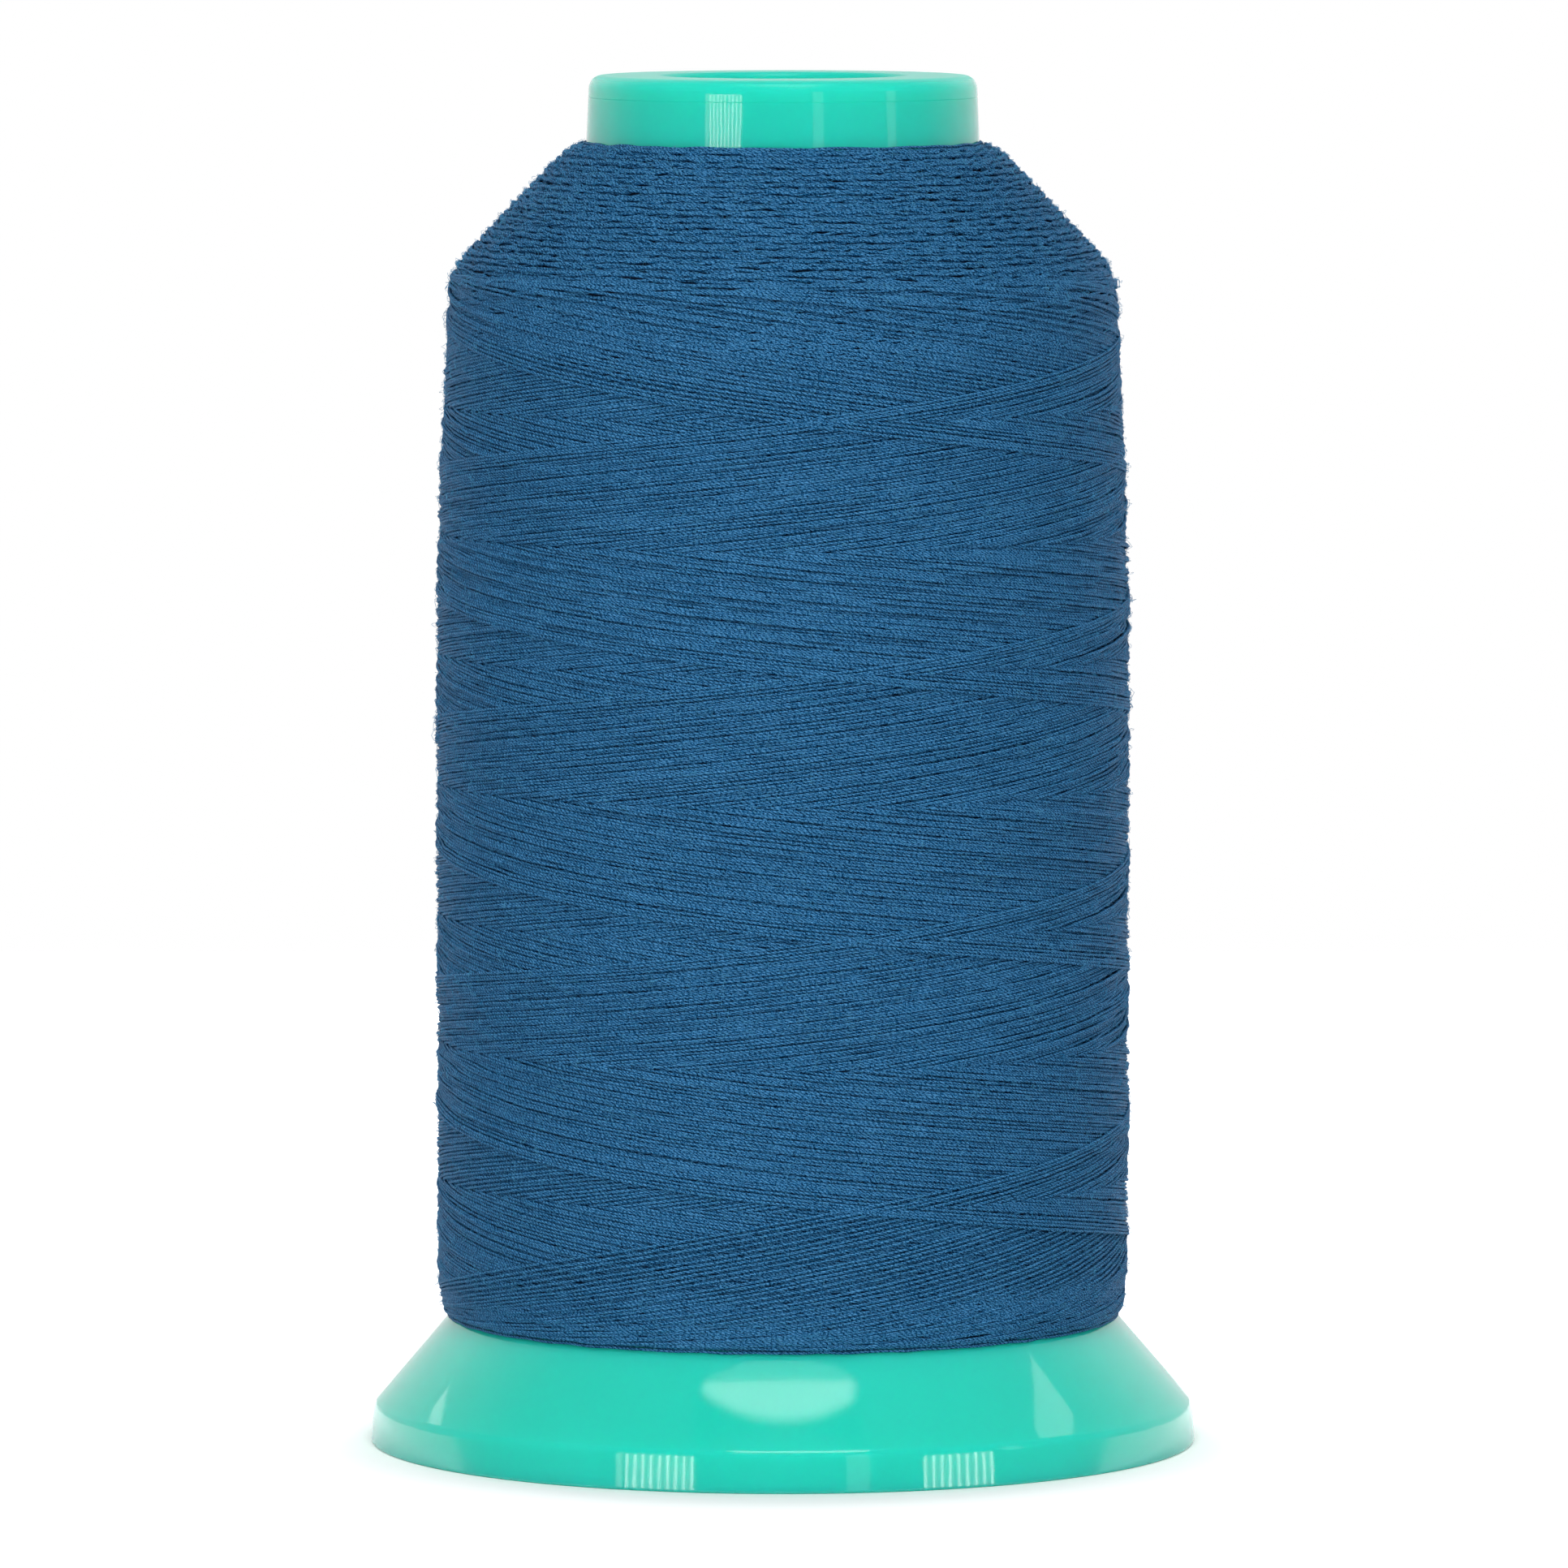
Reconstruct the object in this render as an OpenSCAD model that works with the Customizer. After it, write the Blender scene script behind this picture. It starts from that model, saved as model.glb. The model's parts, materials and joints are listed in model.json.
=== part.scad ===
// King spool of sewing thread: a moulded tube with a bare head and a flared foot,
// a snap base inside the foot, and a cross-wound package of thread.
// Millimetres, +Z up, the origin at the middle of the foot on the floor.

/* [Spool tube, outside] */
// Height of the whole spool
overall_h = 120; // [110:1:130]
// Diameter of the foot at the floor
base_d = 72.5; // [69:0.5:78]
// Diameter of the head below its rounded top edge
head_d = 34; // [32:0.2:36]
// Height of the bare head above the thread
head_h = 5.9; // [4:0.1:8]
// Radius of the head's rounded top edge
head_round = 1.2; // [0.8:0.1:2.4]
// Draft of the head, in degrees from the axis
head_draft = 2.5; // [1:0.5:4]
// Draft of the barrel under the thread, in degrees from the axis
barrel_draft = 0.4; // [0.2:0.1:0.8]
// Height of the foot's upright rim
rim_h = 3.45; // [3.2:0.05:5]
// Draft of the rim, in degrees from the axis
rim_draft = 3.6; // [1:0.2:5]
// Radius that blends the rim into the flank
rim_fillet = 1.2; // [0.4:0.1:2]
// Angle of the flared flank, in degrees from the axis
flank_angle = 40.9; // [38:0.1:46]
// Rounding of the foot's bottom edge
foot_round = 0.25; // [0.1:0.05:0.5]
// Distance of the mould's witness line below the rounded edge
witness_gap = 0.7; // [0.15:0.05:1]
// Depth of the witness line
witness_depth = 0.04; // [0.03:0.01:0.12]

/* [Spool tube, inside] */
// Wall of the barrel at the head
barrel_wall = 1.8; // [1.4:0.1:2.4]
// Wall of the flared flank
flank_wall = 1.8; // [1.2:0.1:2.4]
// Wall of the rim at the floor
rim_wall = 1.7; // [1.2:0.1:2.4]
// Thickness of the head's top wall
top_wall = 2; // [1.2:0.1:3]
// Diameter of the hole in the head
top_hole_d = 21.2; // [16:0.2:23]
// Rounding of the hole's upper lip
lip_round = 0.5; // [0.2:0.1:1]
// Depth of the collar round the hole, from the top
collar_h = 6; // [4:0.5:12]
// Wall of the collar
collar_wall = 1.4; // [1:0.1:2]
// Number of key ribs down the barrel
rib_count = 6; // [4:1:8]
// Width of a key rib
rib_w = 1.4; // [1:0.1:2]
// Height of a key rib above the bore
rib_depth = 1.1; // [0.6:0.1:1.2]
// Distance of the ribs' lower ends above the barrel's throat
rib_start = 1; // [0.5:0.1:2]

/* [Snap base] */
// How far the spool lifts off its base to free the thread's tail
snap_travel = 3; // [2:0.1:4]
// Thickness of the base's plate
plate_t = 1.6; // [1.2:0.1:1.8]
// Height of the plate's underside above its foot ring
plate_lift = 0.6; // [0.3:0.1:0.8]
// Width of the foot ring that the spool stands on
foot_ring_w = 4; // [3:0.5:8]
// Gap between the plate's edge and the rim, which pinches the thread's tail
pinch_gap = 0.2; // [0.1:0.05:0.3]
// Wall of the hub
hub_wall = 1.4; // [1.2:0.1:1.8]
// Running clearance between hub and barrel
hub_clear = 0.08; // [0.04:0.01:0.1]
// Length of the hub inside the barrel
hub_engage = 9.5; // [8.5:0.5:16]
// How far a barb stands out of the hub
barb_proud = 0.45; // [0.3:0.05:0.6]
// Height of a barb
barb_h = 1.2; // [0.8:0.1:1.6]
// Height of a barb's upright edge, below its lead-in
barb_edge = 0.4; // [0.2:0.1:0.6]
// Distance of the barbs below the hub's top
barb_drop = 1; // [0.5:0.1:1.5]
// Clearance of the barbs in their groove
groove_clear = 0.1; // [0.05:0.05:0.2]
// Clearance of the hub's slots beside the key ribs
slot_clear = 0.3; // [0.1:0.05:0.5]
// Number of webs between hub and plate
web_count = 6; // [3:1:12]
// Thickness of a web
web_t = 1.2; // [0.8:0.1:1.6]
// Height of a web at the hub
web_h = 12; // [6:0.5:15]
// Reach of a web from the hub
web_reach = 14; // [8:0.5:15]

/* [Thread] */
// Diameter of the package at its fullest
package_d = 60.7; // [56:0.1:62]
// Diameter of the package at its upper corner
upper_d = 58.6; // [54:0.1:59]
// Height over which the package narrows to that corner
crown_h = 30; // [20:1:40]
// Angle of the shoulder, in degrees from the floor
shoulder_angle = 43.6; // [38:0.2:48]
// Width of the flat edge of the shoulder at the head
shoulder_edge = 1.2; // [0.6:0.1:2]
// Height of the tuck at the package's lower end
tuck_h = 5; // [3:0.5:8]
// Depth of that tuck
tuck_in = 0.6; // [0.3:0.1:1]
// Gap between the package and the moulding
seat_gap = 0.1; // [0.05:0.01:0.2]
// Diameter of the thread
thread_d = 0.3; // [0.2:0.05:0.4]
// Gap between threads where an upward pass and a downward pass cross
cross_gap = 0.45; // [0.42:0.01:0.6]
// Clearance between the outer layer and the package under it
layer_clear = 0.05; // [0.03:0.01:0.1]
// Height of the outer layer's lower turning points above the package's lower end
lower_turn = 1.6; // [1.2:0.1:4]
// Depth of the outer layer's upper turning points below the package's upper corner
upper_turn = 1.6; // [1.2:0.1:4]

/* [Hidden] */
$fn = 96;
plastic = [0.13, 0.80, 0.70];
thread_blue = [0.17, 0.37, 0.54];
// Overlap of shapes that are fused into one solid
fuse = 0.3;
// How far a cutting shape runs past what it cuts
past = 1;
// Steps in a rounded edge
arc_steps = 8;

// The outside of the tube: radii at each height, as straight drafted lines
base_r = base_d / 2;
head_r = head_d / 2;
neck_z = overall_h - head_h;
neck_r = head_r + (head_h - head_round) * tan(head_draft);
rim_top_r = base_r - rim_h * tan(rim_draft);
function flank_r(z) = rim_top_r - (z - rim_h) * tan(flank_angle);
function flank_z(r) = rim_h + (rim_top_r - r) / tan(flank_angle);
function barrel_r(z) = neck_r + (neck_z - z) * tan(barrel_draft);
// Height at which the flank's line runs into the barrel's
flank_top_z = (rim_top_r + rim_h * tan(flank_angle) - neck_r - neck_z * tan(barrel_draft))
    / (tan(flank_angle) - tan(barrel_draft));

// The inside of the tube
bore_r = neck_r - barrel_wall;
rim_in_r = base_r - rim_wall;
function flare_z(r) = flank_z(r + flank_wall / cos(flank_angle));
throat_z = flare_z(bore_r);
flare_foot_z = flare_z(rim_in_r);
top_hole_r = top_hole_d / 2;
ceiling_z = overall_h - top_wall;

// The snap base, closed
hub_r = bore_r - hub_clear;
hub_in_r = hub_r - hub_wall;
hub_top_z = throat_z + hub_engage;
plate_r = rim_in_r - pinch_gap;
plate_top_z = plate_lift + plate_t;
barb_top_z = hub_top_z - barb_drop;
barb_low_z = barb_top_z - barb_h;
groove_r = hub_r + barb_proud + groove_clear;
groove_top_z = barb_top_z + groove_clear;
groove_low_z = barb_low_z - snap_travel - groove_clear;
// The key ribs start above the throat, and the hub's slots a little below them
rib_low_z = throat_z + rib_start;
slot_low_z = rib_low_z - 2 * slot_clear;

// The outside of the thread package
package_r = package_d / 2;
upper_r = upper_d / 2;
edge_r = neck_r + shoulder_edge;
corner_z = neck_z - (upper_r - edge_r) * tan(shoulder_angle);
lower_end_z = flank_z(package_r - tuck_in);
function smooth(t) = (1 - cos(180 * min(max(t, 0), 1))) / 2;
function crown_at(z) = (package_r - upper_r) * smooth((z - corner_z + crown_h) / crown_h);
function tuck_at(z) = tuck_in * pow(max(lower_end_z + tuck_h - z, 0) / tuck_h, 2);
function surface_r(z) = package_r - crown_at(z) - tuck_at(z);

// The outer layer is three upward passes under three downward ones. A pass turns by a whole
// number of ring steps, and its turning points are a third of a turn further on each time.
rings_per_turn = 24;
tube_sides = 6;
ring_step = 360 / rings_per_turn;
passes = 6;
pass_turn = 1320;
// A thread changes between the lower and the upper level this far either side of a turning
// point, and the turning point is rounded over this angle either side
level_turn = 45;
tip_turn = 30;
// The thread's two ends stop short of their turning points by this angle
end_turn = 30;
// A straight tube between two rings dips below a round package by this much at its middle
chord_sag = package_r * (1 - cos(ring_step / 2));
level_rise = thread_d + cross_gap;
layer_depth = thread_d + level_rise + layer_clear + chord_sag;
function core_r(z) = surface_r(z) - layer_depth;
// Distance of the lower level's middle line outside the core
low_level = layer_clear + chord_sag + thread_d / 2;
winding_low_z = lower_end_z + lower_turn;
winding_top_z = corner_z - upper_turn;
// Height gained in one degree of turn
climb = (winding_top_z - winding_low_z) / (pass_turn - tip_turn);
// Height of the core's upper corner, where the shoulder meets the layer's seat
core_corner_z = corner_z + (upper_r - core_r(corner_z)) * tan(shoulder_angle);
// The seat is the barrel and flank grown by the seat gap
seat_out = seat_gap / cos(flank_angle);
seat_corner_z = flank_top_z + (seat_out - seat_gap) / (tan(flank_angle) - tan(barrel_draft));

function arc(centre, radius, from, to, steps = arc_steps) = [
    for (i = [0:steps])
        centre + radius * [cos(from + (to - from) * i / steps), sin(from + (to - from) * i / steps)]
];

// Rounds the corner between two straight lines that meet at a point. The lines' directions
// are angles, measured along the outline as it is walked anticlockwise.
function corner(point, radius, before, after) =
    let (turn = after - before)
    let (start = point - radius * tan(abs(turn) / 2) * [cos(before), sin(before)])
    let (side = sign(turn) * 90)
    let (centre = start + radius * [cos(before + side), sin(before + side)])
    arc(centre, radius, before - side, after - side);

// The tube's section, walked up its outside and down its inside
function witness() =
    let (z = overall_h - head_round - witness_gap)
    let (r = head_r + witness_gap * tan(head_draft))
    [
        [r + witness_depth * tan(head_draft), z - witness_depth],
        [r - witness_depth, z],
        [r - witness_depth * tan(head_draft), z + witness_depth]
    ];

function tube_outside() = concat(
    arc([base_r - foot_round, foot_round], foot_round, -90, 0),
    corner([rim_top_r, rim_h], rim_fillet, 90 + rim_draft, 90 + flank_angle),
    [[barrel_r(flank_top_z), flank_top_z], [neck_r, neck_z]],
    witness(),
    arc([head_r - head_round, overall_h - head_round], head_round, 0, 90)
);

function tube_inside() = concat(
    arc([top_hole_r + lip_round, overall_h - lip_round], lip_round, 90, 180),
    [
        [top_hole_r, overall_h - collar_h],
        [top_hole_r + collar_wall, overall_h - collar_h],
        [top_hole_r + collar_wall, ceiling_z],
        [bore_r, ceiling_z],
        [bore_r, groove_top_z],
        [groove_r, groove_top_z],
        [groove_r, groove_low_z],
        [bore_r, groove_low_z],
        [bore_r, throat_z],
        [rim_in_r, flare_foot_z],
        [rim_in_r, 0]
    ]
);

module key_rib() {
    translate([bore_r - rib_depth, -rib_w / 2, rib_low_z])
        cube([rib_depth + fuse, rib_w, ceiling_z + fuse - rib_low_z]);
}

module spool_tube() {
    color(plastic) {
        rotate_extrude() polygon(concat(tube_outside(), tube_inside()));
        for (i = [0:rib_count - 1])
            rotate(360 * i / rib_count) key_rib();
    }
}

module hub_and_plate() {
    rotate_extrude() polygon([
        [hub_in_r, plate_lift],
        [plate_r - foot_ring_w, plate_lift],
        [plate_r - foot_ring_w, 0],
        [plate_r, 0],
        [plate_r, plate_top_z],
        [hub_r, plate_top_z],
        [hub_r, barb_low_z],
        [hub_r + barb_proud, barb_low_z],
        [hub_r + barb_proud, barb_low_z + barb_edge],
        [hub_r, barb_top_z],
        [hub_r, hub_top_z],
        [hub_in_r, hub_top_z]
    ]);
}

module hub_slot() {
    slot_w = rib_w + 2 * slot_clear;
    translate([hub_in_r - past, -slot_w / 2, slot_low_z])
        cube([hub_wall + barb_proud + 2 * past, slot_w, hub_top_z + past - slot_low_z]);
}

module web() {
    rotate([90, 0, 0])
        translate([0, 0, -web_t / 2])
            linear_extrude(web_t)
                polygon([
                    [hub_r - fuse, plate_top_z - fuse],
                    [hub_r + web_reach, plate_top_z - fuse],
                    [hub_r + web_reach, plate_top_z],
                    [hub_r, web_h],
                    [hub_r - fuse, web_h]
                ]);
}

module snap_base() {
    color(plastic) {
        difference() {
            hub_and_plate();
            for (i = [0:rib_count - 1])
                rotate(360 * i / rib_count) hub_slot();
        }
        for (i = [0:web_count - 1])
            rotate(360 * (i + 0.5) / web_count) web();
    }
}

// The package under the outer layer: its shoulder is the bare surface, and below the
// corner it stands back by the layer's depth
module package_section() {
    body_steps = 12;
    body_h = core_corner_z - lower_end_z;
    polygon(concat(
        [[0, lower_end_z]],
        [for (i = [0:body_steps])
            let (z = lower_end_z + body_h * i / body_steps) [core_r(z), z]],
        [[edge_r, neck_z], [0, neck_z]]
    ));
}

module seat_section() {
    polygon([
        [0, 0],
        [flank_r(0) + seat_out, 0],
        [barrel_r(seat_corner_z) + seat_gap, seat_corner_z],
        [barrel_r(overall_h) + seat_gap, overall_h],
        [0, overall_h]
    ]);
}

module thread_package() {
    color(thread_blue)
        rotate_extrude()
            difference() {
                package_section();
                seat_section();
            }
}

// Angle from the nearest turning point, and whether that point is an upper one
function turns_passed(angle) = round(angle / pass_turn);
function from_turn(angle) = angle - pass_turn * turns_passed(angle);
function is_upper(angle) = turns_passed(angle) % 2 == 1;
function off_tip(angle) =
    let (a = abs(from_turn(angle)))
    climb * (a < tip_turn ? a * a / (2 * tip_turn) : a - tip_turn / 2);
function thread_z(angle) =
    is_upper(angle) ? winding_top_z - off_tip(angle) : winding_low_z + off_tip(angle);
// 0 on an upward pass and 1 on a downward one, changing smoothly at the turning points
function thread_level(angle) =
    let (t = smooth((from_turn(angle) + level_turn) / (2 * level_turn)))
    is_upper(angle) ? t : 1 - t;
function thread_r(angle) =
    core_r(thread_z(angle)) + low_level + level_rise * thread_level(angle);
function thread_point(angle) =
    [thread_r(angle) * cos(angle), thread_r(angle) * sin(angle), thread_z(angle)];

first_angle = end_turn;
last_angle = passes * pass_turn - end_turn;
winding_angles = [for (a = [first_angle:ring_step:last_angle]) a];
// Where a thread end dives into the package, square to its surface
function dive_point(angle) =
    let (r = core_r(thread_z(angle)) + layer_clear)
    [r * cos(angle), r * sin(angle), thread_z(angle)];
winding_path = concat(
    [dive_point(first_angle)],
    [for (a = winding_angles) thread_point(a)],
    [dive_point(last_angle)]
);

function unit(v) = v / norm(v);
// Direction of the path at point i, and how much a mitred ring is stretched there
function leg(path, i) = unit(path[i + 1] - path[i]);
function heading(path, i) =
    i == 0 ? leg(path, 0)
    : i == len(path) - 1 ? leg(path, i - 1)
    : unit(leg(path, i - 1) + leg(path, i));
function mitre(path, i) =
    i == 0 || i == len(path) - 1 ? 1 : 1 / (leg(path, i) * heading(path, i));

// One ring of the tube: its second axis lies nearly upright, its first square to that
function ring(path, i, radius) =
    let (along = heading(path, i))
    let (up = unit([0, 0, 1] - along[2] * along))
    let (out = cross(along, up) * mitre(path, i))
    [
        for (k = [0:tube_sides - 1])
            path[i] + radius * (cos(360 * k / tube_sides) * out + sin(360 * k / tube_sides) * up)
    ];

module tube_along(path, radius) {
    points = [for (i = [0:len(path) - 1]) each ring(path, i, radius)];
    last = (len(path) - 1) * tube_sides;
    sides = [
        for (i = [0:len(path) - 2], k = [0:tube_sides - 1])
            let (a = i * tube_sides + k)
            let (b = i * tube_sides + (k + 1) % tube_sides)
            each [[a, b, b + tube_sides], [a, b + tube_sides, a + tube_sides]]
    ];
    ends = [
        for (k = [1:tube_sides - 2])
            each [[0, k + 1, k], [last, last + k, last + k + 1]]
    ];
    polyhedron(points, concat(sides, ends));
}

module outer_winding() {
    color(thread_blue) tube_along(winding_path, thread_d / 2);
}

// The least gap from thread to thread. All threads that pass one angle are compared, as
// radius and height, at every ring and midway between rings, with the ends that dive in.
function chord_point(angle) =
    let (low = floor(angle / ring_step) * ring_step)
    let (t = (angle - low) / ring_step)
    (1 - t) * [thread_r(low), thread_z(low)]
        + t * [thread_r(low + ring_step), thread_z(low + ring_step)];
function threads_at(angle) = [
    for (a = [angle:360:last_angle])
        if (a >= first_angle) chord_point(min(a, last_angle))
];
function least_apart(points) = min([
    for (i = [0:len(points) - 2], j = [i + 1:len(points) - 1]) norm(points[i] - points[j])
]);
function dive_apart(angle) = min([
    for (a = [angle % 360:360:last_angle])
        if (a >= first_angle && a != angle)
            norm(chord_point(a) - [core_r(thread_z(angle)), thread_z(angle)])
]);
least_gap = min(
    min([for (angle = [0:ring_step / 2:359]) least_apart(threads_at(angle))]) * cos(ring_step / 2),
    dive_apart(first_angle),
    dive_apart(last_angle)
) - thread_d;
echo(least_gap_of_the_winding_mm = least_gap);

spool_tube();
snap_base();
thread_package();
outer_winding();
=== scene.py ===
"""Looks of a king spool of blue sewing thread, drawn in the frame of its exact parts."""
import json
import math

import bpy
import numpy as np
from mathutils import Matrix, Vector

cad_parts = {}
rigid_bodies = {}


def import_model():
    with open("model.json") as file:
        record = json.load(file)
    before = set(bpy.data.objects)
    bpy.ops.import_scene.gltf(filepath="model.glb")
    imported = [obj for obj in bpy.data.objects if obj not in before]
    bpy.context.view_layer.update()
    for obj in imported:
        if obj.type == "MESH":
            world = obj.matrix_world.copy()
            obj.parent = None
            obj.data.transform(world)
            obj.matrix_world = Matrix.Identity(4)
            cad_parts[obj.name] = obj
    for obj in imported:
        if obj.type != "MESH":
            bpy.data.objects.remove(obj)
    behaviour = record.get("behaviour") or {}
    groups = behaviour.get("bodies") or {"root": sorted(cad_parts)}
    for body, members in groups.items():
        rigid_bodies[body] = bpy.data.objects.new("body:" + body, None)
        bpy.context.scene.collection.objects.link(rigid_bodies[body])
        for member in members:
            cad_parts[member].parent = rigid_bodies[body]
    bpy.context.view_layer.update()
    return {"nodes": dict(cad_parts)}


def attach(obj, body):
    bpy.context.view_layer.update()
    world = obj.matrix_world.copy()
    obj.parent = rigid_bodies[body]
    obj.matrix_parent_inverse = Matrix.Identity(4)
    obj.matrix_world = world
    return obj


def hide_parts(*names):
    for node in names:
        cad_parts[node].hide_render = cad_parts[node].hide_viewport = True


MM = 0.001

# Camera, as fitted to the photograph (metres and degrees)
CAMERA_PLACE = (0.0001, -1.1379, 0.1518)
CAMERA_PITCH = -4.72
CAMERA_LENS = 298.7
CAMERA_SENSOR = 36.0

# Package surface (millimetres)
PACKAGE_BOTTOM = 11.4
PACKAGE_TOP = 114.15
BODY_RADIUS = 30.35
CROWN_START = 68.0
CROWN_SPAN = 33.0
CROWN_DROP = 1.1
CROWN_POWER = 1.6
TUCK_START = 16.0
TUCK_SPAN = 5.0
TUCK_DROP = 0.73
SHOULDER_RADIUS = 29.6
SHOULDER_HEIGHT = 102.5
SHOULDER_SLOPE = 0.952
CORNER_SOFTNESS = 0.45
NECK_TURN = 1.1
NECK_REACH = 0.45
NECK_CLEAR = 17.36
SURFACE_STEPS = 4000
# Single turns that close the package: (radius, height) on the flank and round the neck
HOOPS = ((29.45, 11.28), (29.25, 11.51), (17.4, 113.4), (17.38, 113.64), (17.37, 113.88), (17.36, 114.1))

# Yarn and its laying (millimetres and degrees)
YARN_RADIUS = 0.142
PLIES = 3
PLY_LAY = 1.32
END_TAPER = 0.55
PRESSED_RADIUS = 0.112
TAUT_RADIUS = 17.0
# Core under the yarns: how far it lies below the surface, and how finely it is drawn
CORE_DEPTH = 0.5
CORE_ROWS = 120
CORE_SIDES = 256
CORE_FOOT = 25.2
CORE_WALL = 0.1
CORE_ENDS = (0.3, 0.25)
# Height map of the winding: columns round the axis, rows along the surface, and its limits
COLUMNS = 480
ROW = 0.06
ROWS_BELOW = 4
ROWS_SPARE = 12
ROW_REACH = 2
TOUCH = 0.02
LEVEL_REACH = 1.3
LEVEL_LEAST = 0.05
OPEN_BULGE = 0.03
OPEN_SLACK = 0.012
OPEN_ROWS = 2
OPEN_SPREAD = 5
OPEN_LEAST = 3
DEEPEST = -0.3
CREST_LIMIT = 0.25
EDGE = 0.15
COLUMN_SPACING = math.radians(360 / COLUMNS) * BODY_RADIUS
# Turning arcs of the shoulder
SHOULDER_ARCS = 1500
ARC_STEP = 6.1
ARC_HALF = 14.0
ARC_SCATTER = 2.2
ARC_DRIFT = (0.8, 0.05)
ARC_JITTER = 0.12
ARC_BENDS = (70, 150)
ARC_SAG = 0.72
ARC_DIVE = 0.69
ARC_TAIL = 0.022
ARC_LIFT_SCATTER = 0.045
ARC_LOW = 99.0
BURIED = 0.7
BURIED_START = 95.0
BURIED_SPAN = 6.0
# Turning arcs of the lower end
LOWER_ARCS = 420
LOWER_SPREAD = 2.2
LOWER_BENDS = (90, 160)
LOWER_START = 0.12
LOWER_JITTER = 0.2
LOWER_LIFT = 0.55
LOWER_DIVE = 0.4
# Buried wavy turns
BED_PITCH = 0.27
BED_EDGE = 0.3
BED_OVERLAP = 4
BED_SWING = 1.3
BED_SWINGS = 3
BED_SHIFT = 6
# Last strokes, and their wander: share kept from one to the next, and size of what is new
STROKES = 170
STEP_PER_STROKE = 4.3
FIRST_TIP = -141.1
STROKE_DRIFT = (0.6, 0.75)
DRIFT_AGE = 3
TOP_CREEP = (0.5, 0.55)
LOW_CREEP = (0.7, 0.2)
# Stray fibres: how many, and the lengths, turns and heights of their steps
FIBRES = 30000
FIBRE_RADIUS = 0.018
FIBRE_ENDS = (0.6, 0.5)
FIBRE_STEPS = 5
FIBRE_REACH = (2.2, 0.07)
FIBRE_LEAST = 0.05
FIBRE_HEADING = 0.9
FIBRE_CURL = 0.9
FIBRE_WILD = 0.4
FIBRE_STAND = (1.3, 0.06)
FIBRE_NUDGE = 0.02
FIBRE_CLEAR = 0.01
FIBRE_TIP = 0.4
ARCH_ENDS = (0.05, 0.95)
ARCH_POWER = 0.7
# Tubes: samples to a step, sides, and strips and sheets of their texture map (millimetres)
YARN_STEP = 2
YARN_SIDES = 6
YARN_STRIP = 1.2
YARN_SHEET = 150.0
FIBRE_SIDES = 4
FIBRE_STRIP = 0.5
FIBRE_SHEET = 60.0
# Most faces in one piece, and the free margins of its texture map
PIECE_LIMIT = 90000
BAKE_MARGIN = 0.06
BAKE_SPARE = 2.5

# Waviness of the yarns: waves in a sum, then amount, shortest and longest wave (millimetres)
WAVES = 4
BED_WAVES = (0.05, 6, 20)
BED_LIFT_WAVES = (0.03, 5, 12)
ARC_WAVES = (0.1, 1.6, 5.5)
ARC_LIFT_WAVES = (0.1, 1.6, 5)
LOWER_WAVES = (0.03, 4, 14)
LOWER_LIFT_WAVES = (0.03, 3, 9)
STROKE_SLOW_WAVES = (0.03, 8, 45)
STROKE_FAST_WAVES = (0.014, 2.4, 6)
THICKNESS_WAVES = (0.07, 1.8, 7)
HOOP_RADIUS_WAVES = (0.02, 3, 9)
HOOP_HEIGHT_WAVES = (0.05, 3, 9)

# How far shown yarns may sink or stand out at places along the surface (millimetres)
SINK_PLACES = (13, 17, 94, 98, 104)
SINK = (-0.05, DEEPEST, DEEPEST, -0.1, -0.26)
STAND_PLACES = (13, 17, 90, 96, 103)
STAND = (0.05, 0.14, 0.14, 0.06, 0.08)

# One double stroke of the winder: turn angle (degrees), place along the surface (mm)
STROKE_PATH = (
    (0.0, 11.55),
    (38.0, 12.8),
    (66.0, 15.0),
    (104.0, 18.8),
    (151.0, 23.6),
    (508.9, 46.8),
    (865.6, 69.6),
    (1221.9, 91.3),
    (1380.0, 101.6),
    (1418.0, 103.0),
    (1450.0, 101.8),
    (1490.0, 98.8),
    (1581.9, 91.3),
    (1945.6, 69.6),
    (2308.9, 46.8),
    (2671.0, 23.6),
    (2838.0, 13.0),
)
STROKE_TURN = 2875.7
TOP_TIP = 1418.0
TOP_REACH = 60
LOW_REACH = 45

# Pattern of the spun yarn: scales of its parts and their shares in the shade; the ply share paints
# highlights on the ply crests and shade in the grooves between them
PATTERN_SHIFT = 400
WANDER_SCALE = 0.6
PLY_WANDER = 5.0
PLY_SHARPNESS = 1.4
FIBRE_SCALE = 1.7
FIBRE_ALONG = 1.8
FIBRE_ROUND = 1.5
STRAND_SCALE = 5.0
STRAND_SLOPE = -8.0
SLOW_SCALE = 0.045
SHADE_LEVEL = -1.0
PLY_LIGHT_AND_SHADE_SHARE = 0.6
FIBRE_SHARE = 1.6
STRAND_SHARE = 0.7
SLOW_SHARE = 0.3
SHADE_STOPS = (0.1, 0.5, 0.95)
YARN_ROUGHNESS = (0.45, 0.6)
# Bumps of the yarn, and bump and spacing of its buried turns (metres)
BUMP_STRENGTH = 0.9
PLY_BUMP = 0.00006
FIBRE_BUMP = 0.00004
STRAND_BUMP = 0.00003
CORE_BUMP = 0.00008
CORE_LINES = 0.00028
# Clouds of colour: scales (1/metres) and the ends of their ramps
CORE_SCALE = 700.0
CORE_STOPS = (0.1, 0.8)
FLUFF_SCALE = 260.0
FLOOR_SCALE = 14.0
CLOUD_STOPS = (0.3, 0.7)

# Patterns of the plastic: scales of clouds, scuffs and waves (1/metres) and bumps (metres)
CLOUD_SCALE = 45.0
SCUFF_SCALE = 900.0
WAVE_SCALE = 160.0
WAVE_BUMP = 0.00003
WAVE_STRENGTH = 0.3
SCUFF_BUMP = 0.000005
SCUFF_STRENGTH = 0.4

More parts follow.
